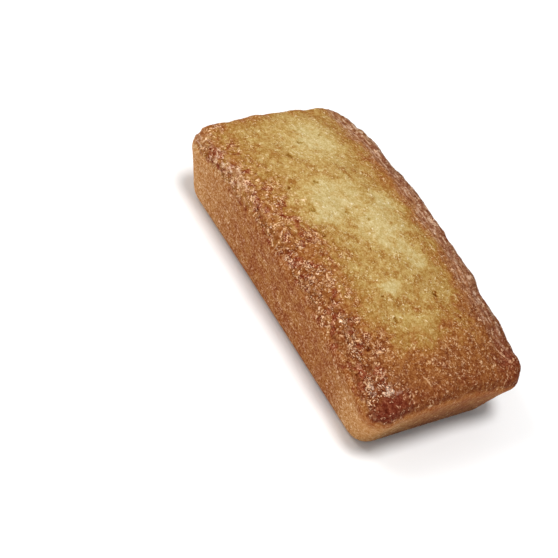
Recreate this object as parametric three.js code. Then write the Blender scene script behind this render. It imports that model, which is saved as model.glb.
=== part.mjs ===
// A financier: a small almond cake, baked in a rectangular mould with sloping walls.
// Millimetres, +Z up. The cake rests on its flat base, and the origin is the middle of that base.
// X runs along the cake and Y across it.
import * as THREE from "three";
import { LoftGeometry } from "three/addons/geometries/LoftGeometry.js";
import { ImprovedNoise } from "three/addons/math/ImprovedNoise.js";

// The mould
const RIM_LENGTH = 86; // at the mouth, where the cake is longest
const RIM_WIDTH = 45;
const DRAFT = 4.6; // how far each wall leans in from the rim to the base
const RIM_CORNER_RADIUS = 5.2; // upright corners, seen from above
const RIM_CORNER_SHRINK = 0.25; // loss of that radius for each millimetre in from the rim
const BASE_CORNER_RADIUS = 4;
const BASE_EDGE_RADIUS = 2.1; // round edge between the base and the walls

// The rise in the oven
const CORNER_HEIGHT = 15; // of the rim at the four corners
const LENGTHWISE_RISE = 6.2; // how much higher the middle of a long side is than its corners
const CROSSWISE_RISE = 3.4; // how much higher the middle of an end is than its corners
const END_FALL = 0.7; // the end at +X came out lower by this much, and the other one higher
const RIM_EDGE_RADIUS = 3.2; // round shoulder between the walls and the top

// The crust
const LIP_HEIGHT = 0.45; // bead of batter that crept up the mould, just inside the shoulder
const LIP_INSET = 2.4;
const LIP_WIDTH = 1.1;
const LUMP_SIZE = 11; // spacing of the broad swellings of the top
const LUMP_HEIGHT = 0.9;
const CRAG_SIZE = 3.9; // spacing of the crags along the rim
const CRAG_HEIGHT = 0.75;
const CRAG_REACH = 6; // how far the crags run in from the rim
const TOP_CRAGS = 0.25; // what is left of the crags farther in
const WALL_UNEVENNESS = 0.3; // the walls took the mould's shape, so they are nearly smooth
const WALL_CRAG_START = 0.5; // the share of a wall's height where the crags begin
const CORNER_SWELL_HEIGHT = 0.9; // the two rim corners of the +X end swelled into dark knobs
const CORNER_SWELL_REACH = 5;
const CORNER_SWELL_INSET = 4; // from the middle of a knob to each side of the rim
const CRUST_COLOUR = 0xb8793d;
const CRUST_ROUGHNESS = 0.5;

// Facets
const CORNER_STEPS = 5;
const LONG_SIDE_STEPS = 36;
const SHORT_SIDE_STEPS = 18;
const BASE_EDGE_STEPS = 3;
const WALL_STEPS = 7;
const RIM_EDGE_STEPS = 5;
const CRUST_BAND_STEPS = 3;
const CROWN_STEPS = 11;
const CROWN_CAP = 0.1; // size of the cap in the middle of the top, as a share of the crown

const HALF_LENGTH = RIM_LENGTH / 2;
const HALF_WIDTH = RIM_WIDTH / 2;
const QUARTER_TURN = Math.PI / 2;
const { lerp, smoothstep } = THREE.MathUtils;
const { noise } = new ImprovedNoise();

// One outline of the cake at a level: its half sizes, its height before the rise, the radius of
// its corners, how far it has turned from a rectangle into an ellipse, and how strongly the lumps
// and the crags of the crust show there.
function wallStation(height, extraInset, unevenness) {
  const share = height / CORNER_HEIGHT;
  const inset = DRAFT * (1 - share) + extraInset;
  return {
    halfLength: HALF_LENGTH - inset,
    halfWidth: HALF_WIDTH - inset,
    height,
    cornerRadius: lerp(BASE_CORNER_RADIUS, RIM_CORNER_RADIUS, share),
    roundness: 0,
    lumps: unevenness,
    crags: unevenness * smoothstep(share, WALL_CRAG_START, 1),
  };
}

function crustStation(inset, height, unevenness) {
  const lip = LIP_HEIGHT * Math.exp(-(((inset - LIP_INSET) / LIP_WIDTH) ** 2));
  return {
    halfLength: HALF_LENGTH - inset,
    halfWidth: HALF_WIDTH - inset,
    height: height + lip * unevenness,
    cornerRadius: RIM_CORNER_RADIUS - RIM_CORNER_SHRINK * inset,
    roundness: 0,
    lumps: unevenness,
    crags: unevenness * lerp(1, TOP_CRAGS, smoothstep(inset, RIM_EDGE_RADIUS, CRAG_REACH)),
  };
}

function steps(count, makeStation) {
  return Array.from({ length: count }, (_, step) => makeStation(step / count));
}

function baseEdge() {
  return steps(BASE_EDGE_STEPS, (share) => {
    const angle = share * QUARTER_TURN;
    const height = BASE_EDGE_RADIUS * (1 - Math.cos(angle));
    return wallStation(height, BASE_EDGE_RADIUS * (1 - Math.sin(angle)), 0);
  });
}

function wall() {
  const high = CORNER_HEIGHT - RIM_EDGE_RADIUS;
  return steps(WALL_STEPS, (share) =>
    wallStation(lerp(BASE_EDGE_RADIUS, high, share), 0, WALL_UNEVENNESS * share),
  );
}

// The shoulder starts where the wall ends, and turns from the wall to the top.
function rimEdge() {
  const wallTopInset = (DRAFT * RIM_EDGE_RADIUS) / CORNER_HEIGHT;
  return steps(RIM_EDGE_STEPS, (share) => {
    const angle = share * QUARTER_TURN;
    const inset = wallTopInset * (1 - share) + RIM_EDGE_RADIUS * (1 - Math.cos(angle));
    const height = CORNER_HEIGHT - RIM_EDGE_RADIUS * (1 - Math.sin(angle));
    return crustStation(inset, height, lerp(WALL_UNEVENNESS, 1, share));
  });
}

function crustBand() {
  return steps(CRUST_BAND_STEPS, (share) =>
    crustStation(lerp(RIM_EDGE_RADIUS, CRAG_REACH, share), CORNER_HEIGHT, 1),
  );
}

// Inside the crust band the outlines shrink in proportion and grow rounder, towards a small cap.
function crown() {
  const outermost = crustStation(CRAG_REACH, CORNER_HEIGHT, 1);
  return steps(CROWN_STEPS, (share) => {
    const scale = lerp(1, CROWN_CAP, share);
    return {
      ...outermost,
      halfLength: outermost.halfLength * scale,
      halfWidth: outermost.halfWidth * scale,
      cornerRadius: outermost.cornerRadius * scale,
      roundness: share,
    };
  });
}

// The points of one outline, counterclockwise seen from above: each corner is followed by the
// straight side that leads to the next corner.
function outline({ halfLength, halfWidth, height, cornerRadius, roundness }) {
  const corner = (quarter, step) => {
    const angle = (quarter + step / CORNER_STEPS) * QUARTER_TURN;
    const middle = (quarter + 0.5) * QUARTER_TURN;
    const centreX = Math.sign(Math.cos(middle)) * (halfLength - cornerRadius);
    const centreY = Math.sign(Math.sin(middle)) * (halfWidth - cornerRadius);
    const x = centreX + cornerRadius * Math.cos(angle);
    const y = centreY + cornerRadius * Math.sin(angle);
    return new THREE.Vector3(x, y, height);
  };
  const points = [];
  for (let quarter = 0; quarter < 4; quarter++) {
    for (let step = 0; step < CORNER_STEPS; step++) {
      points.push(corner(quarter, step));
    }
    const sideStart = corner(quarter, CORNER_STEPS);
    const sideEnd = corner(quarter + 1, 0);
    const sideSteps = quarter % 2 === 0 ? LONG_SIDE_STEPS : SHORT_SIDE_STEPS;
    for (let step = 0; step < sideSteps; step++) {
      points.push(sideStart.clone().lerp(sideEnd, step / sideSteps));
    }
  }
  for (const point of points) {
    const angle = Math.atan2(point.y / halfWidth, point.x / halfLength);
    point.x = lerp(point.x, halfLength * Math.cos(angle), roundness);
    point.y = lerp(point.y, halfWidth * Math.sin(angle), roundness);
  }
  return points;
}

// The batter rises most in the middle, and lifts each wall with it.
function raise(point) {
  const alongShare = point.x / HALF_LENGTH;
  const acrossShare = point.y / HALF_WIDTH;
  const rise =
    LENGTHWISE_RISE * (1 - alongShare ** 2) +
    CROSSWISE_RISE * (1 - acrossShare ** 2) -
    END_FALL * alongShare;
  point.z *= 1 + rise / CORNER_HEIGHT;
  return point;
}

function cornerSwell(point) {
  const alongGap = point.x - (HALF_LENGTH - CORNER_SWELL_INSET);
  const acrossGap = Math.abs(point.y) - (HALF_WIDTH - CORNER_SWELL_INSET);
  const distance = Math.hypot(alongGap, acrossGap) / CORNER_SWELL_REACH;
  return CORNER_SWELL_HEIGHT * Math.exp(-(distance ** 2));
}

function unevenness(point, { lumps, crags }) {
  const at = (size) => noise(point.x / size, point.y / size, point.z / size);
  const lumpHeight = LUMP_HEIGHT * at(LUMP_SIZE);
  const cragHeight = CRAG_HEIGHT * at(CRAG_SIZE) + cornerSwell(point);
  return lumps * lumpHeight + crags * cragHeight;
}

// The outlines, each point pushed out along the surface by the crust's unevenness.
function crustOutlines() {
  const stations = [...baseEdge(), ...wall(), ...rimEdge(), ...crustBand(), ...crown()];
  const outlines = stations.map((level) => outline(level).map(raise));
  const normals = new LoftGeometry(outlines).getAttribute("normal");
  const pointsPerRow = outlines[0].length + 1; // a closed loft repeats each outline's first point
  const normal = new THREE.Vector3();
  outlines.forEach((points, row) => {
    points.forEach((point, column) => {
      normal.fromBufferAttribute(normals, row * pointsPerRow + column);
      point.addScaledVector(normal, unevenness(point, stations[row]));
    });
  });
  return outlines;
}

function cake() {
  const geometry = new LoftGeometry(crustOutlines(), { capStart: true, capEnd: true });
  geometry.computeBoundingBox();
  const middle = geometry.boundingBox.getCenter(new THREE.Vector3());
  geometry.translate(-middle.x, -middle.y, -geometry.boundingBox.min.z);
  const crust = new THREE.MeshStandardMaterial({
    color: CRUST_COLOUR,
    roughness: CRUST_ROUGHNESS,
    metalness: 0,
  });
  const mesh = new THREE.Mesh(geometry, crust);
  mesh.name = "cake";
  return mesh;
}

const financier = new THREE.Group();
financier.add(cake());

export default financier;
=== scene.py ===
# %% [markdown]
# # A financier, from a block of batter to a browned crust
# A financier is a small almond cake, baked in a rectangular mould with sloping walls. The batter
# climbs in the middle, browns along the rim where the metal is hot, and stays pale on the crown.
# The solid comes from the frame. This lesson makes the skin that is seen: its crags, its grain, its
# pores, and the colours of the bake. Sizes are in metres, in the frame's own axes: X along the cake,
# Y across it, Z up from the base. The near end is the one at +X, and the left side the one at -Y.

# %% Load the frame
import math
from functools import reduce

import bmesh
import bpy
import numpy as np
from mathutils import Color, Matrix, Vector


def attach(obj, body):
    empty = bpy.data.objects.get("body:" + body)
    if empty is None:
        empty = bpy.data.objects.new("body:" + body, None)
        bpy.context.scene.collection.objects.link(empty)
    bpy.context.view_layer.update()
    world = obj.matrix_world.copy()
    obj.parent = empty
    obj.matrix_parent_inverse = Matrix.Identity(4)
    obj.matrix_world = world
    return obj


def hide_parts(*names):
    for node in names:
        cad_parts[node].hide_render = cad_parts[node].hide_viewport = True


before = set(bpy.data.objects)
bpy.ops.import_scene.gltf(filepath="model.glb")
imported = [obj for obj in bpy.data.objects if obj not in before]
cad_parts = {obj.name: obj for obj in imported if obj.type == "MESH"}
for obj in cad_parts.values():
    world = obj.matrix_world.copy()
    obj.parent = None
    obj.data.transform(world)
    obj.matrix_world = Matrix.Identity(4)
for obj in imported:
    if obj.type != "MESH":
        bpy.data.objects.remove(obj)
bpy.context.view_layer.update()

MM = 0.001
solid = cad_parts["cake"]

# %% [markdown]
# ## The camera
# The cake is seen from above its near corner, through a long lens, and the picture is turned so that
# the cake's long side runs down to the right. A camera can be placed by its own rotation angles, but
# a place, a point to look at and a roll are easier to read and to change.

# %% Place the camera
CAMERA_PLACE = Vector((163.2, -221.1, 261.0)) * MM
CAMERA_AIM = Vector((-8.15, -9.67, 0.0)) * MM
CAMERA_ROLL = math.radians(27.57)
CAMERA_LENS = 106.5
NEAREST_SEEN = 0.01

backwards = (CAMERA_PLACE - CAMERA_AIM).normalized()
upright = backwards.to_track_quat("Z", "Y").to_matrix()
rolled = upright @ Matrix.Rotation(CAMERA_ROLL, 3, "Z")

camera = bpy.data.objects.new("camera", bpy.data.cameras.new("camera"))
bpy.context.scene.collection.objects.link(camera)
camera.data.lens = CAMERA_LENS
camera.data.clip_start = NEAREST_SEEN
camera.matrix_world = Matrix.Translation(CAMERA_PLACE) @ rolled.to_4x4()
bpy.context.scene.camera = camera
print("camera distance, mm:", round((CAMERA_PLACE - CAMERA_AIM).length / MM))

# %% [markdown]
# ## Shader maths
# A crust's colour depends on many things at once, so its shader holds a lot of arithmetic. Wired by
# hand it would be unreadable. Here a small class wraps a socket, so that an expression such as
# `1 - mask` adds the Math node itself, and one method adds every other kind of node.

# %% A class for sockets
MIX_FACTOR, MIX_LOW, MIX_HIGH, MIX_RESULT = 0, 6, 7, 2  # the sockets of a Mix node that are for colours


class Socket:
    """One output of a shader node. Arithmetic on it adds Math nodes to its tree."""

    def __init__(self, link):
        self.link = link

    def node(self, kind, settings, inputs, output=0):
        """Adds a node: its settings are set first, then its sockets get values or links."""
        made = self.link.id_data.nodes.new(kind)
        for name, value in settings.items():
            if name == "stops":
                fill_ramp(made.color_ramp.elements, value)
            else:
                setattr(made, name, value)
        fill(made, inputs)
        return Socket(made.outputs[output])

    def math(self, operation, first, second):
        return self.node("ShaderNodeMath", {"operation": operation}, {0: first, 1: second})

    def vector(self, operation, second, output="Vector"):
        return self.node("ShaderNodeVectorMath", {"operation": operation}, {0: self, 1: second}, output)

    def __add__(self, other):
        return self.math("ADD", self, other)

    def __sub__(self, other):
        return self.math("SUBTRACT", self, other)

    def __rsub__(self, other):
        return self.math("SUBTRACT", other, self)

    def __mul__(self, other):
        return self.math("MULTIPLY", self, other)

    def __truediv__(self, other):
        return self.math("DIVIDE", self, other)

    def __rtruediv__(self, other):
        return self.math("DIVIDE", other, self)

    def __neg__(self):
        return self.math("MULTIPLY", self, -1)

    __radd__ = __add__
    __rmul__ = __mul__

    def or_more(self, other):
        return self.math("MAXIMUM", self, other)

    def eased(self, low, high):
        """0 at low, 1 at high, and a smooth curve between them. High may be below low."""
        inputs = {"Value": self, "From Min": low, "From Max": high}
        return self.node("ShaderNodeMapRange", {"interpolation_type": "SMOOTHSTEP"}, inputs)

    def blend(self, low, high):
        """The number low where this value is 0, and high where it is 1."""
        return low + self * (high - low)

    def tint(self, low, high):
        """The colour low where this value is 0, and high where it is 1."""
        inputs = {MIX_FACTOR: self, MIX_LOW: low, MIX_HIGH: high}
        return self.node("ShaderNodeMix", {"data_type": "RGBA"}, inputs, MIX_RESULT)

    def shaded(self, factor):
        """This colour, made darker or lighter by a factor."""
        return self.node("ShaderNodeVectorMath", {"operation": "SCALE"}, {0: self, "Scale": factor})

    def thickened(self, layers):
        """This colour as a film of so many layers shows it: thicker is darker and more saturated."""
        return self.node("ShaderNodeGamma", {}, {"Color": self, "Gamma": layers})


print("a socket can:", [name for name in vars(Socket) if not name.startswith("_")])

# %% Helpers for nodes and colours
WHITE = (1, 1, 1, 1)


def fill(node, inputs):
    """Gives a node's sockets their values, or their links where a value is a Socket."""
    for name, value in inputs.items():
        if isinstance(value, Socket):
            node.id_data.links.new(value.link, node.inputs[name])
        else:
            node.inputs[name].default_value = value


def fill_ramp(elements, stops):
    """Gives a colour ramp its stops, each a value and its colour, in rising order."""
    for value, _ in stops[1:-1]:
        elements.new(value)
    for element, (value, colour) in zip(elements, stops):
        element.position = value
        element.color = colour


def paint(red, green, blue):
    """A colour as a picture shows it, 0 to 255, turned into the linear light that a shader uses."""
    shown = Color([part / 255 for part in (red, green, blue)])
    return [*shown.from_srgb_to_scene_linear(), 1]


print("mid grey in linear light:", round(paint(128, 128, 128)[0], 3))

# %% [markdown]
# ## The studio
# Small food is often shot on a white table under one large light. From straight above, that light
# gives a tight soft shadow at the foot, and leaves the near end in shade. A sun with a wide angle
# stands for it here, because it is equally strong everywhere. The table glows a little by itself, which
# keeps the shadow pale. The white room is brighter at the left, where a softbox hangs: an area light
# that puts glints on the buttery rim.

# %% Lay the floor
FLOOR_SIZE = 4.0
PAPER_WHITE = (0.85, 0.85, 0.85, 1)
PAPER_ROUGHNESS = 0.9
PAPER_SHINE = 0.1
TABLE_GLOW = 0.05

bpy.ops.object.select_all(action="DESELECT")
bpy.ops.mesh.primitive_plane_add(size=FLOOR_SIZE)
floor = bpy.context.object
floor.name = "floor"

paper = bpy.data.materials.new("white_paper")
paper.use_nodes = True
fill(paper.node_tree.nodes["Principled BSDF"], {
    "Base Color": PAPER_WHITE,
    "Roughness": PAPER_ROUGHNESS,
    "Specular IOR Level": PAPER_SHINE,
    "Emission Color": WHITE,
    "Emission Strength": TABLE_GLOW,
})
floor.data.materials.append(paper)
print("floor, mm:", [round(side / MM) for side in floor.dimensions])

# %% Light the room
BRIGHT_SIDE = Vector((-0.5, -0.6, 0.5))
SKY_LEVEL = 0.25
SKY_CONTRAST = 0.45
DARKEST_SKY = 0.03

sky = bpy.data.worlds.new("soft_room")
sky.use_nodes = True
background = sky.node_tree.nodes["Background"]
direction = Socket(background.outputs["Background"]).node("ShaderNodeTexCoord", {}, {}, "Generated")
bright_share = direction.vector("DOT_PRODUCT", BRIGHT_SIDE.normalized(), "Value")
glow = bright_share * SKY_CONTRAST + SKY_LEVEL
fill(background, {"Color": WHITE, "Strength": glow.or_more(DARKEST_SKY)})
bpy.context.scene.world = sky
bpy.context.scene.view_settings.view_transform = "Standard"
print("sky, at its darkest and brightest:", DARKEST_SKY, SKY_LEVEL + SKY_CONTRAST)

# %% Hang the lights
SOFTBOX_SIDE = 0.4
SOFTBOX_PLACE = Vector((-0.62, -0.78, 1.25))
SOFTBOX_POWER = 5.0
OVERHEAD_SIDE = Vector((0.10, -0.11, 1.0))
OVERHEAD_SPREAD = math.radians(18)
OVERHEAD_STRENGTH = 2.36


def hang(name, kind, side):
    """Adds a light that shines from one side of the room towards the middle of the floor."""
    light = bpy.data.objects.new(name, bpy.data.lights.new(name, kind))
    bpy.context.scene.collection.objects.link(light)
    light.rotation_mode = "QUATERNION"
    light.rotation_quaternion = (-side).to_track_quat("-Z", "Y")
    return light


softbox = hang("softbox", "AREA", SOFTBOX_PLACE)
softbox.location = SOFTBOX_PLACE
softbox.data.size = SOFTBOX_SIDE
softbox.data.energy = SOFTBOX_POWER
overhead = hang("overhead", "SUN", OVERHEAD_SIDE)
overhead.data.angle = OVERHEAD_SPREAD
overhead.data.energy = OVERHEAD_STRENGTH
print("softbox distance, mm:", round(SOFTBOX_PLACE.length / MM))

# %% [markdown]
# ## The block
# The mould gives the cake its walls, and the oven gives it its rise. Both are easy on a block that is
# cut into even slices: each level is scaled in to follow the mould's slope, and each slice along and
# across is stretched upwards by what the batter rises there.

# %% Cut the block into slices
RIM_LENGTH = 86 * MM
RIM_WIDTH = 45 * MM
HALF_LENGTH = RIM_LENGTH / 2
HALF_WIDTH = RIM_WIDTH / 2
CORNER_HEIGHT = 15 * MM
SLICES = 12


def slices(piece, axis):
    """The piece's vertices in slices along an axis: each slice's place and its vertex numbers."""
    found = {}
    for vertex in piece.data.vertices:
        found.setdefault(round(vertex.co[axis] / MM, 2) * MM, []).append(vertex.index)
    return found


bpy.ops.object.select_all(action="DESELECT")
bpy.ops.mesh.primitive_cube_add(
    size=1,
    location=(0, 0, CORNER_HEIGHT / 2),
    scale=(RIM_LENGTH, RIM_WIDTH, CORNER_HEIGHT),
)
cake = bpy.context.object
cake.name = "financier"
bpy.ops.object.transform_apply(location=True, rotation=True, scale=True)
bpy.ops.object.mode_set(mode="EDIT")
bpy.ops.mesh.subdivide(number_cuts=SLICES - 1)
bpy.ops.object.mode_set(mode="OBJECT")
along, across, upward = [slices(cake, axis) for axis in range(3)]
print("slices:", len(along), len(across), len(upward))

# %% Slope the walls and raise the top
DRAFT = 4.6 * MM
LENGTHWISE_RISE = 6.2 * MM
CROSSWISE_RISE = 3.4 * MM
END_FALL = 0.7 * MM


def stretch(piece, numbers, factor):
    """In edit mode, scales one slice about the frame's origin."""
    mesh = bmesh.from_edit_mesh(piece.data)
    mesh.verts.ensure_lookup_table()
    bpy.ops.mesh.select_all(action="DESELECT")
    for number in numbers:
        mesh.verts[number].select = True
    bmesh.update_edit_mesh(piece.data)
    bpy.ops.transform.resize(value=factor, center_override=(0, 0, 0))


def rise_along(x):
    return LENGTHWISE_RISE * (1 - (x / HALF_LENGTH) ** 2) - END_FALL * x / HALF_LENGTH


def rise_across(y):
    return CROSSWISE_RISE * (1 - (y / HALF_WIDTH) ** 2)


bpy.ops.object.mode_set(mode="EDIT")
for z, numbers in upward.items():
    lean = DRAFT * (1 - z / CORNER_HEIGHT)
    stretch(cake, numbers, (1 - lean / HALF_LENGTH, 1 - lean / HALF_WIDTH, 1))
for x, numbers in along.items():
    stretch(cake, numbers, (1, 1, 1 + rise_along(x) / CORNER_HEIGHT))
for y, numbers in across.items():
    stretch(cake, numbers, (1, 1, 1 + rise_across(y) / (CORNER_HEIGHT + LENGTHWISE_RISE)))
bpy.ops.object.mode_set(mode="OBJECT")
print("block height, mm:", round(cake.dimensions.z / MM, 1))

# %% [markdown]
# ## The skin
# The block has the form but only a few hundred faces. A voxel remesh turns it into an even skin of
# small squares, which a Shrinkwrap then lays on the frame's solid, so that rim, corners and lumps are
# where the solid has them. The solid is made of flat facets, and a short smoothing takes them off.

# %% Remesh the block and lay it on the solid
SKIN_GRAIN = 0.345 * MM
SMOOTHING_FACTOR = 0.5
SMOOTHING_STEPS = 14


def finish_with(piece, kind, **settings):
    """Adds a modifier, sets it, and applies it at once."""
    modifier = piece.modifiers.new(kind.lower(), kind)
    for name, value in settings.items():
        setattr(modifier, name, value)
    bpy.ops.object.modifier_apply(modifier=modifier.name)


finish_with(cake, "REMESH", mode="VOXEL", voxel_size=SKIN_GRAIN)
finish_with(cake, "SHRINKWRAP", target=solid, wrap_method="NEAREST_SURFACEPOINT")
finish_with(cake, "SMOOTH", factor=SMOOTHING_FACTOR, iterations=SMOOTHING_STEPS)
print("skin:", len(cake.data.polygons), "faces")

# %% [markdown]
# ## Where the crust is
# The walls took the mould's even surface, the top dried freely, and the rim between them baked
# hardest. Two measures tell them apart anywhere on the cake: the height as a share of the rim's height
# there, and how far in from the rim a point lies. They are plain formulas, so the same ones serve the
# mesh here and the colours later. Each zone is kept as a vertex group, which limits a modifier to it.

# %% Measure each point of the skin
def rim_height(x, y):
    """How high the top is above the base at a place, from the rise of the batter."""
    across_share = y * (1 / HALF_WIDTH)
    along_share = x * (1 / HALF_LENGTH)
    lengthwise = (1 - along_share * along_share) * LENGTHWISE_RISE
    crosswise = (1 - across_share * across_share) * CROSSWISE_RISE
    return lengthwise + crosswise - along_share * END_FALL + CORNER_HEIGHT


def skin_points(piece):
    """The places of the piece's vertices, as three rows of numbers."""
    flat = np.empty(3 * len(piece.data.vertices))
    piece.data.vertices.foreach_get("co", flat)
    return flat.reshape(-1, 3).T


x, y, z = skin_points(cake)
height_share = z / rim_height(x, y)
inset = np.minimum(HALF_LENGTH - abs(x), HALF_WIDTH - abs(y))
print("highest share of the rim's height:", round(height_share.max(), 2))

# %% Mark the zones of the crust
def mm(*lengths):
    """Lengths in millimetres, as the metres that Blender uses."""
    return [length * MM for length in lengths]


def ease(value, low, high):
    """0 at low, 1 at high, and a smooth curve between them. High may be below low."""
    share = np.clip((value - low) / (high - low), 0, 1)
    return share * share * (3 - 2 * share)


LEAST_WEIGHT = 0.01
TOP_EDGE = (0.82, 0.95)
FOOT_EDGE = mm(0.6, 2.5)
RIM_INNER_EDGE = mm(3.5, 8)
RIM_LOSS = 0.85  # how much weaker the rim's relief is inside that edge
LEFT_RIM_EDGE = mm(11, 17)
RIGHT_RIM_EDGE = mm(12, 16)
RIGHT_RIM_END = mm(38, 30)


def paint_group(piece, name, weights):
    """Keeps one weight for each vertex as a vertex group."""
    group = piece.vertex_groups.new(name=name)
    for number in np.flatnonzero(weights > LEAST_WEIGHT).tolist():
        group.add([number], float(weights[number]), "REPLACE")


on_top = ease(height_share, *TOP_EDGE)
zones = {
    "rim": on_top * (1 - RIM_LOSS * ease(inset, *RIM_INNER_EDGE)),
    "left_rim": on_top * ease(-y, *LEFT_RIM_EDGE),
    "right_rim": on_top * ease(y, *RIGHT_RIM_EDGE) * ease(x, *RIGHT_RIM_END),
    "top": on_top,
    "walls": ease(z, *FOOT_EDGE) * (1 - on_top),
}
for zone, weights in zones.items():
    paint_group(cake, zone, weights)
print("points in each zone:", {zone: int((weights > 0.5).sum()) for zone, weights in zones.items()})

# %% [markdown]
# ## The relief of the crust
# Crust isn't smooth. Along the rim the batter boiled against the hot metal and set in crags. On one
# long side it crept up the mould and dried in wrinkles that run along the rim. The top dried to a skin
# of fine blisters, and the walls show the crumb. Each is a Displace modifier with its own procedural
# texture, held to its zone by a vertex group. An empty that is stretched along the cake stretches the
# wrinkles, because the texture is read in the empty's own space.

# %% Raise crags, wrinkles, blisters and crumb
RELIEF = [  # zone, grain and height in millimetres, stretch along the cake, depth of the noise
    ("rim", 2.6, 0.45, 1, 2),
    ("left_rim", 1.1, 0.7, 1, 1),
    ("right_rim", 1.3, 0.6, 5, 1),
    ("top", 0.9, 0.2, 1, 1),
    ("walls", 0.8, 0.2, 1, 1),
]


def raise_relief(piece, zone, grain, height, stretch_along, depth):
    """Moves the skin in and out along its normals by clouds of the given grain size."""
    bpy.ops.object.empty_add()
    ruler = bpy.context.object
    ruler.scale = (stretch_along, 1, 1)
    clouds = bpy.data.textures.new(zone, "CLOUDS")
    clouds.noise_scale = grain
    clouds.noise_depth = depth
    bpy.context.view_layer.objects.active = piece
    finish_with(
        piece,
        "DISPLACE",
        texture=clouds,
        texture_coords="OBJECT",
        texture_coords_object=ruler,
        vertex_group=zone,
        strength=height,
        mid_level=0.5,
    )
    bpy.ops.object.delete()
    bpy.data.textures.remove(clouds)


for zone, grain, height, stretch_along, depth in RELIEF:
    raise_relief(cake, zone, grain * MM, height * MM, stretch_along, depth)
bpy.context.view_layer.objects.active = cake
cake.select_set(True)
print("relief, mm:", [round(side / MM, 1) for side in cake.dimensions])

# %% [markdown]
# ## Burst bubbles
# A few bubbles burst on the crown and left small dark pits. Each is given by its place on the top and
# its radius. The pits are pressed into the skin by one more Displace, and are darkened later.

# %% Press the pits into the top
PITS = [  # the middle along and across the cake, and the radius, in millimetres
    (-25.0, -5.8, 0.8), (-15.5, -5.0, 0.6), (-16.0, -11.8, 0.5), (-8.0, -10.3, 0.9), (-1.0, -11.7, 0.4),
    (-5.5, -2.8, 0.6), (-2.0, 1.2, 0.4), (17.0, -7.0, 0.5), (23.2, -6.8, 0.7), (26.8, -15.8, 0.5),
    (19.5, 6.2, 0.8), (-28.8, -0.4, 0.6), (-29.8, 6.0, 0.4), (26.0, 9.0, 0.4), (5.0, -3.0, 0.3),
]
PIT_EDGE = (1.3, 0.4)  # as shares of the radius
PIT_DEPTH = 0.25 * MM

x, y = skin_points(cake)[:2]
pit_weights = np.zeros(len(x))
for pit_x, pit_y, radius in PITS:
    gap = np.hypot(x / MM - pit_x, y / MM - pit_y) / radius
    pit_weights = np.maximum(pit_weights, on_top * ease(gap, *PIT_EDGE))
paint_group(cake, "pits", pit_weights)
finish_with(cake, "DISPLACE", vertex_group="pits", strength=-PIT_DEPTH, mid_level=0)
bpy.ops.object.shade_smooth()
print("points in pits:", int((pit_weights > 0.5).sum()))

# %% [markdown]
# ## The base
# The base lies flat on the table, so it needs no fine skin. Its faces are dissolved into one, and the
# skin stays closed.

# %% Dissolve the base
BASE_TOP = 0.05 * MM
FLAT_ANGLE = math.radians(5)

bpy.ops.object.mode_set(mode="EDIT")
base_mesh = bmesh.from_edit_mesh(cake.data)
bpy.ops.mesh.select_mode(type="FACE")
bpy.ops.mesh.select_all(action="DESELECT")
for face in base_mesh.faces:
    face.select = max(vertex.co.z for vertex in face.verts) < BASE_TOP
bmesh.update_edit_mesh(cake.data)
bpy.ops.mesh.dissolve_limited(angle_limit=FLAT_ANGLE)
bpy.ops.object.mode_set(mode="OBJECT")
face_count = len(cake.data.polygons)
print("skin:", face_count, "faces,", len(cake.data.loops) - 2 * face_count, "triangles")

# %% [markdown]
# ## Places on the crust
# A finish that changes over the cake has to know where it is. Object coordinates give the place in the
# cake's own axes, so the pattern stays on the crust when the cake is moved. A straight border would
# look painted, so the place is also shaken by noise: ragged for wide borders, frayed for narrow ones
# and jagged for small marks.

# %% Read the places on the cake
crust = bpy.data.materials.new("baked_crust")
crust.use_nodes = True
shader = crust.node_tree.nodes["Principled BSDF"]
place = Socket(shader.outputs["BSDF"]).node("ShaderNodeTexCoord", {}, {}, "Object")


def noise(size, detail=2.0, where=place, output="Fac"):
    """Soft noise about 0.5, with blobs of the given size."""
    inputs = {"Vector": where, "Scale": 1 / size, "Detail": detail}
    return where.node("ShaderNodeTexNoise", {}, inputs, output)


def shaken(where, size, reach, detail=3.0):
    """The same place, moved about by noise, which makes an edge ragged."""
    shift = noise(size, detail, output="Color").vector("SUBTRACT", (0.5, 0.5, 0.5))
    return where.vector("ADD", shift.vector("MULTIPLY", (reach, reach, reach)))


def axes(vector):
    """The three coordinates of a vector."""
    split = vector.node("ShaderNodeSeparateXYZ", {}, {0: vector}).link.node
    return [Socket(output) for output in split.outputs]


RAGGED = mm(7, 12)  # the size of the noise, and how far it reaches
FRAYED = mm(3, 4)
JAGGED = mm(0.9, 2)

x, y, z = axes(place)
flat = place.vector("MULTIPLY", (1, 1, 0))
ragged = shaken(flat, *RAGGED)
frayed = shaken(flat, *FRAYED)
jagged = shaken(flat, *JAGGED)
ragged_x, ragged_y = axes(ragged)[:2]
frayed_y = axes(frayed)[1]
print("crust reads:", place.link.name, "coordinates")

# %% [markdown]
# ## Top and walls
# The film of the top ends on the shoulder, along a line that wavers. Over the near half of the left
# shoulder it stops short, and the bare crust of the wall runs up over the edge. Painting that border by
# hand on a texture would tie it to one mesh, so a mask is worked out from the height share.

# %% Tell the top from the walls
FILM_EDGE = (0.84, 0.93)
FILM_WAVER = 0.08
FILM_WAVER_SIZE = 2 * MM
BARE_START = mm(6, 26)
BARE_EDGE = mm(19.4, 20.8)
BARE_CORNER = mm(27, 40)
BARE_CORNER_SHIFT = 1.4 * MM

height_share = z / rim_height(x, y)
shoulder_line = -frayed_y - x.eased(*BARE_CORNER) * BARE_CORNER_SHIFT
bare_shoulder = x.eased(*BARE_START) * shoulder_line.eased(*BARE_EDGE)
wavering_share = height_share + (noise(FILM_WAVER_SIZE) - 0.5) * FILM_WAVER
top = wavering_share.eased(*FILM_EDGE) * (1 - bare_shoulder)
print("crust nodes so far:", len(crust.node_tree.nodes))

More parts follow.
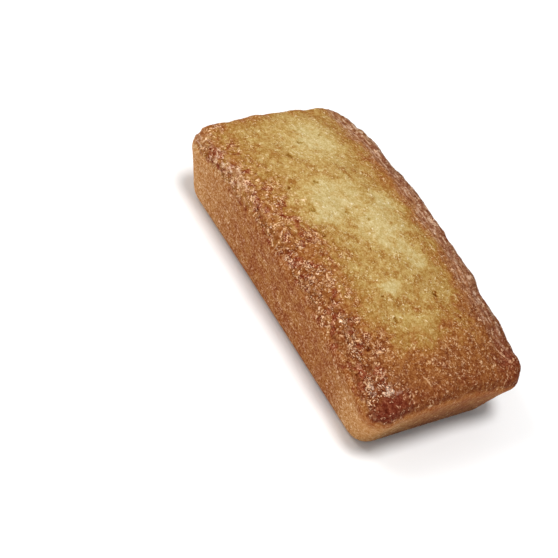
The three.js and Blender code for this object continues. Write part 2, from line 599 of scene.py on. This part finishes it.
# %% [markdown]
# ## How far it is baked
# Browning runs in from the rim: a narrow band at the far end, a wider one along both sides, and most
# of the near end. The edge of the band is ragged, and a few pale patches stay on the crown, each a soft
# oval seen from above. So the bake is one number, from 0 for pale to 1 for dark, built from the four
# sides, the patches and noise.

# %% Brown the sides and the ends
NEARNESS = mm(-30, 25)
LEFT_BAND = mm(9, 21)
LEFT_WIDENING = 2 * MM
LEFT_BAKE = (0.33, 0.70)  # at the far end and at the near end
RIGHT_BAND = mm(8, 19)
RIGHT_START = mm(-38, -16)
RIGHT_BAKE = (0.30, 0.62)
NEAR_BAND = mm(16, 44)
NEAR_BAKE = 0.84
FAR_BAND = mm(37, 43)
FAR_BAKE = 0.5

nearness = ragged_x.eased(*NEARNESS)
left_side = (nearness * LEFT_WIDENING - ragged_y).eased(*LEFT_BAND) * nearness.blend(*LEFT_BAKE)
right_side = ragged_y.eased(*RIGHT_BAND) * ragged_x.eased(*RIGHT_START).blend(*RIGHT_BAKE)
near_end = ragged_x.eased(*NEAR_BAND) * NEAR_BAKE
far_end = (-ragged_x).eased(*FAR_BAND) * FAR_BAKE
browned = 1 - (1 - left_side) * (1 - right_side) * (1 - near_end) * (1 - far_end)
print("crust nodes so far:", len(crust.node_tree.nodes))

# %% Keep patches of the crown pale
PALE_PATCHES = [  # the middle and the half sizes, along and across the cake, in millimetres
    (-28.5, 3.5, 8.5, 8.5), (-9.5, -5.0, 8.5, 11.0), (0.5, 3.0, 8.5, 6.0), (9.0, 5.5, 4.5, 3.5),
    (-6.0, 9.0, 5.0, 6.0), (15.0, -5.0, 2.5, 3.0), (26.0, -2.0, 5.0, 7.0),
]
SPOT_EDGE = (1.2, 0.3)  # as shares of an oval's half sizes
GOLDEN_BAKE = 0.28


def spot(where, middle_x, middle_y, half_length, half_width):
    """1 in the middle of an oval on the top, 0 outside it, with a soft edge. In millimetres."""
    centred = where.vector("SUBTRACT", (middle_x * MM, middle_y * MM, 0))
    shares = centred.vector("DIVIDE", (half_length * MM, half_width * MM, 1))
    return shares.vector("LENGTH", (0, 0, 0), "Value").eased(*SPOT_EDGE)


def strongest(masks):
    """The highest of several masks at each place."""
    return reduce(Socket.or_more, masks)


def spots(where, ovals):
    """Several ovals as one mask."""
    return strongest([spot(where, *oval) for oval in ovals])


pale = spots(ragged, PALE_PATCHES)
golden = (1 - pale) * (1 - browned) * GOLDEN_BAKE
print("pale patches:", len(PALE_PATCHES))

# %% Mottle the crust and scorch its shoulder
PALE_CALM = 0.5  # how much less mottled the pale patches are
FINE_MOTTLE = 1.4 * MM
FINE_MOTTLE_BAKE = (0.45, 0.33)  # on pale crust and on brown crust
COARSE_MOTTLE = 4 * MM
COARSE_MOTTLE_BAKE = 0.25
SHOULDER_EDGE = (0.80, 0.88)
SHOULDER_NEAR_END = mm(41, 36)
SHOULDER_FAR_END = mm(-41, -31)
SCORCH_SIZE = 2.4 * MM
SCORCH_EDGE = (0.50, 0.64)
SCORCH_BAKE = 0.12

fine_mottle = (noise(FINE_MOTTLE, detail=4.0) - 0.5) * browned.blend(*FINE_MOTTLE_BAKE)
mottle = fine_mottle + (noise(COARSE_MOTTLE) - 0.5) * COARSE_MOTTLE_BAKE
shoulder = height_share.eased(*SHOULDER_EDGE) * x.eased(*SHOULDER_NEAR_END) * x.eased(*SHOULDER_FAR_END)
scorched = shoulder * noise(SCORCH_SIZE, detail=3.0).eased(*SCORCH_EDGE)
bake = browned + golden + scorched * SCORCH_BAKE + mottle * (1 - pale * PALE_CALM)
print("crust nodes so far:", len(crust.node_tree.nodes))

# %% [markdown]
# ## The colours of the crust
# The bake picks the colour of the top, from cream through gold to red-brown. A colour ramp holds these
# in order, which is easier to tune than a chain of mixes. The walls have a colour of their own, a tan
# that turns golden towards the far end and at the foot of the near left corner. Where the wall's crust
# runs up over the left shoulder it faces the light from above, and painted shade keeps it a little darker.

# %% Colour the top and the walls
TOP_BAKE = [
    (0.0, paint(188, 166, 113)),
    (0.2, paint(177, 146, 86)),
    (0.4, paint(157, 115, 57)),
    (0.6, paint(147, 92, 45)),
    (0.8, paint(129, 74, 36)),
    (1.0, paint(108, 50, 26)),
]
WALL_TAN = paint(163, 104, 54)
WALL_BROWN = paint(149, 86, 47)
WALL_GOLD = paint(194, 142, 88)
WALL_CLOUDS = 3 * MM
WALL_CLOUD_EDGE = (0.35, 0.65)
GOLDEN_FOOT = (40, -20, 14, 14)
GOLDEN_FOOT_HEIGHT = (0.92, 0.55)
GOLDEN_FOOT_TINT = 0.85
GOLDEN_END = mm(8, 46)
BARE_CREST = (0.86, 0.98)
BARE_CREST_SHADE = (1, 0.75)

top_colour = bake.node("ShaderNodeValToRGB", {"stops": TOP_BAKE}, {"Fac": bake})
wall_colour = noise(WALL_CLOUDS, detail=5.0).eased(*WALL_CLOUD_EDGE).tint(WALL_BROWN, WALL_TAN)
golden_foot = spot(flat, *GOLDEN_FOOT) * height_share.eased(*GOLDEN_FOOT_HEIGHT) * GOLDEN_FOOT_TINT
golden_wall = golden_foot.or_more((-ragged_x).eased(*GOLDEN_END))
wall_colour = golden_wall.tint(wall_colour, WALL_GOLD)
colour = top.tint(wall_colour, top_colour)
# painted shade on the bare crest, which faces the light from above
painted_shade_on_crest = bare_shoulder * height_share.eased(*BARE_CREST)
colour = colour.shaded(painted_shade_on_crest.blend(*BARE_CREST_SHADE))
print("stops from pale to dark:", len(TOP_BAKE))

# %% [markdown]
# ## The dried rims
# Along the right rim thin batter dried in strands, which run along the edge and fade on its outer side.
# The dark strands are the crust's colour, and the pale ones are a painted sheen, where the glossy ridges
# mirror the white room. Patches of the same strands lie on the far half of the left shoulder, and the
# rest of that shoulder is scorched red-brown here and there. The strands are noise that is stretched
# along the cake: single hairs modelled as mesh would be too many and too fine.

# %% Find the rims
STRAND_SIZE = 0.6 * MM
STRAND_STRETCH = (0.3, 1, 1)
RIM_FRAYED_SHARE = 0.6
RIM_RAGGED_SHARE = 0.4
RIM_LINE_EDGE = mm(13.5, 18)
RIM_NEAR_END = mm(40, 32)
RIM_OUTER_EDGE = mm(19.5, 21.8)
RIM_OUTER_FADE = (1, 0.4)
LEFT_CREST = (-27, -20.2, 18, 1.9)
CREST_EDGE = (0.85, 0.95)
CREST_PATCH_SIZE = 3 * MM
CREST_PATCH_EDGE = (0.46, 0.58)
CREST_PATCHES = (0.3, 1)

strands = noise(STRAND_SIZE, detail=3.0, where=place.vector("MULTIPLY", STRAND_STRETCH))
rim_line = frayed_y * RIM_FRAYED_SHARE + ragged_y * RIM_RAGGED_SHARE
right_rim = rim_line.eased(*RIM_LINE_EDGE) * top * x.eased(*RIM_NEAR_END)
right_rim = right_rim * y.eased(*RIM_OUTER_EDGE).blend(*RIM_OUTER_FADE)
crest_patches = noise(CREST_PATCH_SIZE).eased(*CREST_PATCH_EDGE)
left_crest = spot(frayed, *LEFT_CREST) * height_share.eased(*CREST_EDGE)
left_crest = left_crest * crest_patches.blend(*CREST_PATCHES)
print("crust nodes so far:", len(crust.node_tree.nodes))

# %% Dry the rims in strands
RIM_ROSE = paint(157, 118, 91)
SCORCH_RED = paint(124, 54, 29)
STRAND_DARK = paint(112, 60, 42)
PALE_STRAND_SHEEN = paint(212, 176, 148)
FAR_HALF = mm(36, 14)
ROSE_TINT = (0.10, 0.45)  # of the right rim, on its near half and on its far half
ROSE_CREST_TINT = 0.3
SCORCH_SIDE = mm(12, 18)
SCORCH_TINT = 0.85
RIM_SHADE_EDGE = mm(17, 20)
RIM_SHADE = (1, 0.7)
DARK_EDGE = (0.52, 0.40)
DARK_TINT = 0.7
DARK_CREST_TINT = 0.3
PALE_EDGE = (0.52, 0.66)
PALE_TINT = (0.20, 0.55)
PALE_CREST_TINT = 0.75


def rims(right_amount, left_amount):
    """The right rim and the left crest as one mask, each as strong as given."""
    return (right_rim * right_amount).or_more(left_crest * left_amount)


far_half = x.eased(*FAR_HALF)
colour = rims(far_half.blend(*ROSE_TINT), ROSE_CREST_TINT).tint(colour, RIM_ROSE)
left_scorch = scorched * (-frayed_y).eased(*SCORCH_SIDE)
colour = (left_scorch * SCORCH_TINT).tint(colour, SCORCH_RED)
colour = colour.shaded((right_rim * y.eased(*RIM_SHADE_EDGE)).blend(*RIM_SHADE))
dark_strands = rims(DARK_TINT, DARK_CREST_TINT) * strands.eased(*DARK_EDGE)
colour = dark_strands.tint(colour, STRAND_DARK)
# the pale strands are a painted sheen on the ridges of the rims
pale_strand_sheen = rims(far_half.blend(*PALE_TINT), PALE_CREST_TINT) * strands.eased(*PALE_EDGE)
colour = pale_strand_sheen.tint(colour, PALE_STRAND_SHEEN)
print("crust nodes so far:", len(crust.node_tree.nodes))

# %% [markdown]
# ## The near end
# One near corner is burnt to a dark red knob, and the other is only a little darker than the crust
# around it. The wall of this end turns away from the light, and its foot is darker still, more than the
# lights alone make it. Its upper edge catches a little light. Both are shaded into the colour.

# %% Burn the corners and shade the end
KNOB_RED = paint(106, 42, 27)
KNOB = (40.2, -17.0, 3.0, 5.5)
RIGHT_CORNER = (39.5, 19.0, 7.0, 5.0)
RIGHT_CORNER_SHARE = 0.26
KNOB_EDGE = (0.83, 0.93)
KNOB_TINT = 0.74
END_WALL_EDGE = mm(35, 39)
END_WALL_LIFT = 0.1
END_FOOT_HEIGHT = (0.87, 0.03)
END_FOOT_SIDE = mm(-21, -12)
END_FOOT_SHADE = 0.65
END_BROW_EDGE = mm(39, 41.5)
END_BROW_HEIGHT = (0.70, 0.85)
END_BROW_LIFT = 0.12

right_corner = spot(frayed, *RIGHT_CORNER)
knob = spot(frayed, *KNOB).or_more(right_corner * RIGHT_CORNER_SHARE) * height_share.eased(*KNOB_EDGE)
colour = (knob * KNOB_TINT).tint(colour, KNOB_RED)
end_wall = x.eased(*END_WALL_EDGE) * (1 - top)
end_foot = height_share.eased(*END_FOOT_HEIGHT) * y.eased(*END_FOOT_SIDE)
end_brow = x.eased(*END_BROW_EDGE) * height_share.eased(*END_BROW_HEIGHT) * (1 - knob)
end_light = end_wall * (END_WALL_LIFT - end_foot * END_FOOT_SHADE) + end_brow * END_BROW_LIFT
colour = colour.shaded(1 + end_light)
print("crust nodes so far:", len(crust.node_tree.nodes))

# %% [markdown]
# ## Flecks
# Close up, the crust is a smooth brown film with sugar and ground almond in it. They show as small
# bright curls that lie in loose clusters: partly the grains themselves and partly painted glints, which
# are strongest on the left shoulder. Around each lies a darker rim of painted shade. Noise alone would
# give an even grain like sandpaper, so the flecks are scattered: a Voronoi texture has one point in
# each of its cells, and luck decides whether a cell has a fleck and how large it is. The texture is
# read at shaken places, which bends its round dots into curls.

# %% Decide where flecks are plenty
CLUSTER_SIZE = 2.5 * MM
CLUSTER_EDGE = (0.36, 0.60)
CLUSTER_AT_END = 0.5
CLUSTER_PLENTY = (0.15, 1)
SPARKLE_SIDE = mm(8, 18)
SPARKLE_CORNER = (36, -17, 8, 7)
FAR_LEFT_CORNER = (-39.5, -18, 5, 4)
NEAR_EDGE = mm(38, 41)
WALL_PLENTY = 0.18
TOP_PLENTY = (0.22, 0.97)  # what the top adds where it is pale and where it is brown
END_BAND = mm(24, 38)
END_PLENTY = (1, 0.6)

cluster = noise(CLUSTER_SIZE, detail=3.0).eased(*CLUSTER_EDGE).or_more(near_end * CLUSTER_AT_END)
# sparkle marks the shoulder where the flecks carry painted glints
sparkle = (-ragged_y).eased(*SPARKLE_SIDE).or_more(spot(ragged, *SPARKLE_CORNER)) * top * (1 - knob)
plain = strongest(mask * share for mask, share in [  # each place with the share of flecks it lacks
    (pale * top, 0.7),
    (knob, 0.8),
    (right_corner, 0.35),
    (spot(frayed, *FAR_LEFT_CORNER), 0.6),
    (end_wall, 0.7),
    (right_rim, 0.7),
    (x.eased(*NEAR_EDGE), 0.45),
])
plenty = (WALL_PLENTY + top * browned.blend(*TOP_PLENTY)) * cluster.blend(*CLUSTER_PLENTY)
plenty = plenty * (1 - plain) * x.eased(*END_BAND).blend(*END_PLENTY)
print("crust nodes so far:", len(crust.node_tree.nodes))

# %% Scatter the flecks
GRAIN_STRETCH = (1, 1, 0.8)
SMALL_FLECK = 0.4 * MM
SMALL_PLENTY = 1.25
LARGE_FLECK = 0.62 * MM
CURL_SIZE = 1.5  # of the noise that bends the flecks, in fleck sizes
CURL_REACH = 3.5
LARGEST_REACH = 0.7
FLECK_EDGE = (0, 0.25)
FLECK_SHADE_RIM_EDGE = (-0.35, 0)
FLECK_STRENGTH = (0.35, 1)

grained = place.vector("MULTIPLY", GRAIN_STRETCH)


def flecks(size, plenty):
    """Scattered curls of uneven size and strength, and the rims of painted shade around them."""
    curled = shaken(grained, CURL_SIZE * size, CURL_REACH * size, detail=1.0)
    distance = place.node("ShaderNodeTexVoronoi", {}, {"Vector": curled, "Scale": 1 / size})
    luck, strength = axes(Socket(distance.link.node.outputs["Color"]))[:2]
    inside = luck.eased(1 - plenty, 1) * LARGEST_REACH - distance
    curl = inside.eased(*FLECK_EDGE) * strength.blend(*FLECK_STRENGTH)
    return curl, inside.eased(*FLECK_SHADE_RIM_EDGE) * (1 - curl)


small_fleck, small_shade_rim = flecks(SMALL_FLECK, plenty * SMALL_PLENTY)
large_fleck, large_shade_rim = flecks(LARGE_FLECK, plenty)
fleck = small_fleck.or_more(large_fleck)
fleck_shade_rim = small_shade_rim.or_more(large_shade_rim) * plenty
print("crust nodes so far:", len(crust.node_tree.nodes))

# %% [markdown]
# ## The film
# Where the film of the crust is thicker, it is darker and more saturated at once. Mixing in brown would
# only make it duller. A Gamma node gives the right change, with the number of layers as its power. Fine
# and coarse grain add layers, the rims of painted shade around the flecks add more, and the flecks take
# some away.

# %% Thicken the film
FINE_GRAIN = 0.36 * MM
GRAIN_ON_WALL = 1.85
GRAIN_LOSS_ON_END = 0.7
COARSE_GRAIN = 0.9 * MM
COARSE_LAYERS = (0.9, 1.4)  # on dry crust and on the sparkling shoulder
SHADE_RIM_LAYERS = (0.3, 0.5)
FLECK_LAYERS = 0.5
FEWEST_LAYERS = 0.3
FLECK = paint(250, 203, 157)
FLECK_TINT = 0.1
FLECK_TINT_BROWNED = 0.34
FLECK_TINT_SPARKLE = 0.48

grain = noise(FINE_GRAIN, detail=1.0, where=grained)
coarse_grain = noise(COARSE_GRAIN, where=grained)
layers = 1 + (0.5 - grain) * (GRAIN_ON_WALL - top - end_wall * GRAIN_LOSS_ON_END + plenty)
layers = layers + (0.5 - coarse_grain) * sparkle.blend(*COARSE_LAYERS)
# painted shade: the rims around the flecks are thickened darker
layers = layers + fleck_shade_rim * sparkle.blend(*SHADE_RIM_LAYERS) - fleck * FLECK_LAYERS
colour = colour.thickened(layers.or_more(FEWEST_LAYERS))
# the flecks are lightened, most on the shoulder, where the extra is painted glint
fleck_tint = FLECK_TINT + browned * FLECK_TINT_BROWNED + sparkle * FLECK_TINT_SPARKLE
colour = (fleck * fleck_tint).tint(colour, FLECK)
print("crust nodes so far:", len(crust.node_tree.nodes))

# %% [markdown]
# ## The buttery shoulder
# Butter fried out of the batter along the left rim. Wet patches there glint on their flecks, a faint
# sheen lies between them, and a wet edge shines above the knob. Gloss alone would show these only where
# a light happens to be mirrored, so they are painted in, nearly white: painted glints, a painted sheen
# and a painted shine on the wet edge.

# %% Paint the glints and sheen of the wet shoulder
GLINT = paint(252, 224, 198)
GLINT_PATCH_SIZE = 1.3 * MM
GLINT_PATCH_EDGE = (0.54, 0.64)
GLINT_CORNER_PATCH = (36.5, -16, 4, 5)
GLINT_EDGE = (0.25, 0.80)
GLINT_SIDE = mm(13, 18)
GLINT_STRENGTH = (0.5, 1)
GLINT_TINT = 0.55
SHEEN_SIZE = 1.5 * MM
SHEEN_EDGE = (0.56, 0.70)
SHEEN_TINT = 0.16
WET_EDGE_GLINTS = [(35.6, -19.2, 1.5, 1.4), (37.0, -15.4, 1.2, 2.4)]
WET_EDGE_GLINT_SIZE = 0.8 * MM
WET_EDGE_GLINT_BREAKS = (0.46, 0.60)
WET_EDGE_GLINT_TINT = 0.4

glint_patches = noise(GLINT_PATCH_SIZE, detail=3.0).eased(*GLINT_PATCH_EDGE).or_more(spot(ragged, *GLINT_CORNER_PATCH))
# painted glints on the flecks of the wet patches
glint = sparkle * glint_patches * fleck.eased(*GLINT_EDGE) * (-frayed_y).eased(*GLINT_SIDE).blend(*GLINT_STRENGTH)
colour = (glint * GLINT_TINT).tint(colour, GLINT)
# a painted sheen between the flecks
sheen = sparkle * noise(SHEEN_SIZE).eased(*SHEEN_EDGE)
colour = (sheen * SHEEN_TINT).tint(colour, FLECK)
# painted shine on the wet edge above the knob
wet_edge_glint = spots(frayed, WET_EDGE_GLINTS) * top * noise(WET_EDGE_GLINT_SIZE).eased(*WET_EDGE_GLINT_BREAKS)
colour = (wet_edge_glint * WET_EDGE_GLINT_TINT).tint(colour, GLINT)
print("crust nodes so far:", len(crust.node_tree.nodes))

# %% [markdown]
# ## Dark pits
# The film gathers in the hollow of a burst bubble, so the pits are darker than the crust around them.
# Their shade alone would hardly show, because the light comes from straight above.

# %% Darken the pits
PIT_LAYERS = 0.8

pits = spots(jagged, [(pit_x, pit_y, radius, radius) for pit_x, pit_y, radius in PITS])
colour = colour.thickened(1 + pits * top * PIT_LAYERS)
print("pits:", len(PITS))

# %% [markdown]
# ## The shine
# The crust is matt. Only the glints and the strands of the rims have a thin clear coat, because a coat
# over all of the dark crust would veil it in grey. Grain and flecks are finer than the mesh, so a Bump
# node raises them, and each fleck catches the light on its own.

# %% Make the rims shine
GLINT_GLOSS = 0.35
STRAND_GLOSS = 0.4
STRAND_GLOSS_EDGE = (0.50, 0.62)
GRAIN_HEIGHT = 0.4
FLECK_HEIGHT = 0.55
BUMP_ON = (0.35, 1)  # how strong the bump is on the walls and on the top
BUMP_STRENGTH = 0.8
BUMP_DISTANCE = 0.2 * MM
DRY_ROUGHNESS = 0.75
GLOSS_SMOOTHING = 0.3
CRUST_SHINE = 0.05
COAT_ROUGHNESS = 0.15

gloss = (glint * GLINT_GLOSS).or_more(rims(STRAND_GLOSS, STRAND_GLOSS) * strands.eased(*STRAND_GLOSS_EDGE))
bump_height = (grain * GRAIN_HEIGHT + fleck * FLECK_HEIGHT) * top.blend(*BUMP_ON)
bump_inputs = {"Strength": BUMP_STRENGTH, "Distance": BUMP_DISTANCE, "Height": bump_height}
fill(shader, {
    "Base Color": colour,
    "Roughness": DRY_ROUGHNESS - gloss * GLOSS_SMOOTHING,
    "Coat Weight": gloss,
    "Normal": place.node("ShaderNodeBump", {}, bump_inputs, "Normal"),
    "Specular IOR Level": CRUST_SHINE,
    "Coat Roughness": COAT_ROUGHNESS,
})
cake.data.materials.clear()
cake.data.materials.append(crust)
print("crust nodes:", len(crust.node_tree.nodes))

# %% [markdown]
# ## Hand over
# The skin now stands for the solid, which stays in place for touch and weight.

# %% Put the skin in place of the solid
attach(cake, "root")
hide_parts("cake")
